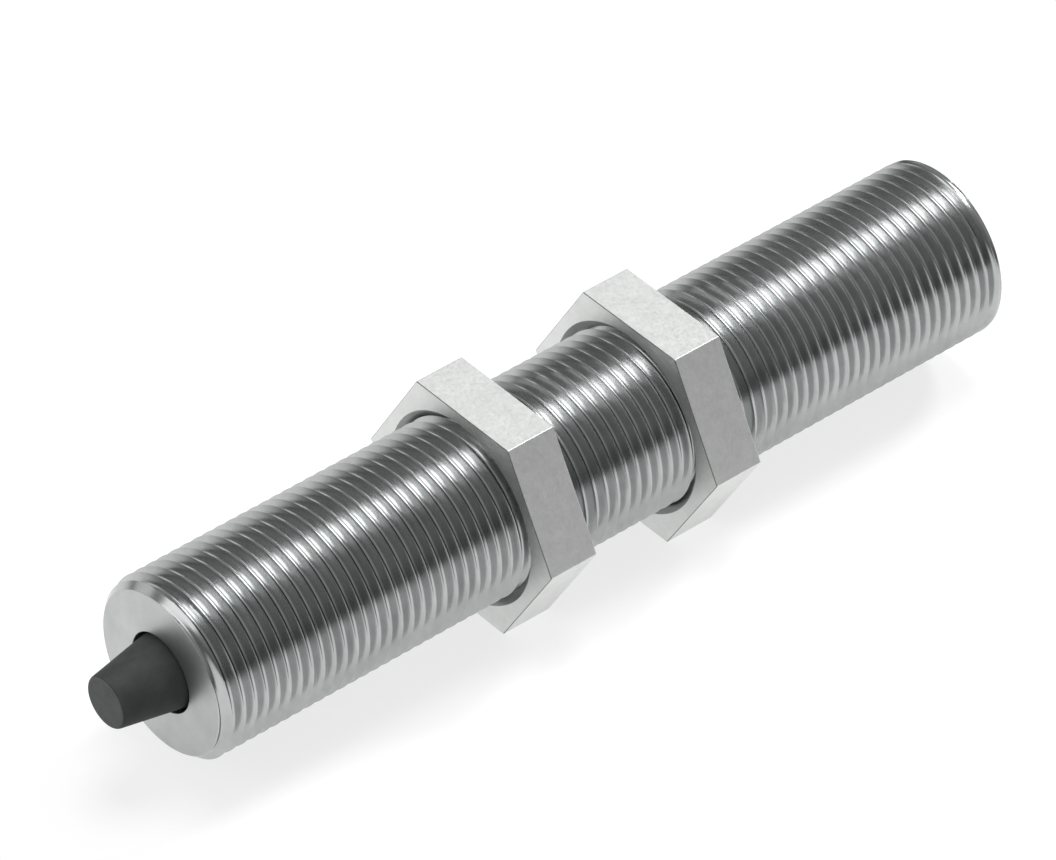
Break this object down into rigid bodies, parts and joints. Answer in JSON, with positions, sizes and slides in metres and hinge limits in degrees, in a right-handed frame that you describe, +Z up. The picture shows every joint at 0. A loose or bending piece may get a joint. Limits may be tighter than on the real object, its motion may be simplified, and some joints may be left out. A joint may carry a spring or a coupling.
{
  "type": "industrial shock absorber",
  "caption": "Small threaded hydraulic shock absorber with an elastomer impact cap, a fixed front stop and two thin hexagon lock nuts.",
  "frame": {"origin": "centre of the front stop face of the barrel", "axes": "+X along the barrel from the stop face to the rear end, +Z up and square to a flat of both nuts, which the part rests on"},
  "size_m": [0.0778, 0.0196, 0.017],
  "materials": {
    "stainless_thread": "bright turned stainless steel",
    "plated_nut": "satin bright zinc plating",
    "cap_elastomer": "matt black moulded elastomer",
    "hard_chrome": "ground and hard-chromed",
    "turned_steel": "turned steel, lightly oiled",
    "spring_steel": "oil-tempered spring steel",
    "bearing_bronze": "turned bronze",
    "seal_rubber": "black nitrile rubber",
    "wiper_polymer": "brown filled polymer",
    "closed_cell_foam": "black closed-cell foam",
    "black_steel": "black oxide steel"
  },
  "bodies": {
    "barrel": {"outer_tube": "stainless_thread", "scraper": "wiper_polymer", "rod_seal": "seal_rubber", "rod_guide": "turned_steel", "guide_bush": "bearing_bronze", "guide_gasket": "seal_rubber", "accumulator_foam": "closed_cell_foam", "centring_ring": "turned_steel", "pressure_tube": "turned_steel", "return_spring": "spring_steel", "rear_plug": "turned_steel", "plug_gasket": "seal_rubber", "fill_screw": "black_steel"},
    "rod": {"impact_cap": "cap_elastomer", "piston_rod": "hard_chrome", "piston": "turned_steel", "piston_nut": "turned_steel"},
    "check_ring": {"check_ring": "bearing_bronze"},
    "front_nut": {"front_nut": "plated_nut"},
    "rear_nut": {"rear_nut": "plated_nut"}
  },
  "joints": [
    {"name": "rod_slide", "type": "slide", "parent": "barrel", "child": "rod", "axis": [1, 0, 0], "range_m": [0, 0.0048], "stiffness_N_per_m": 1500, "springref_m": -0.004, "deforming": ["return_spring"]},
    {"name": "check_ring_float", "type": "slide", "parent": "rod", "child": "check_ring", "axis": [1, 0, 0], "range_m": [0, 0.0003]},
    {"name": "front_nut_travel", "type": "slide", "parent": "barrel", "child": "front_nut", "axis": [1, 0, 0], "range_m": [-0.026, 0.005]},
    {"name": "rear_nut_travel", "type": "slide", "parent": "barrel", "child": "rear_nut", "axis": [1, 0, 0], "range_m": [-0.005, 0.025]}
  ]
}
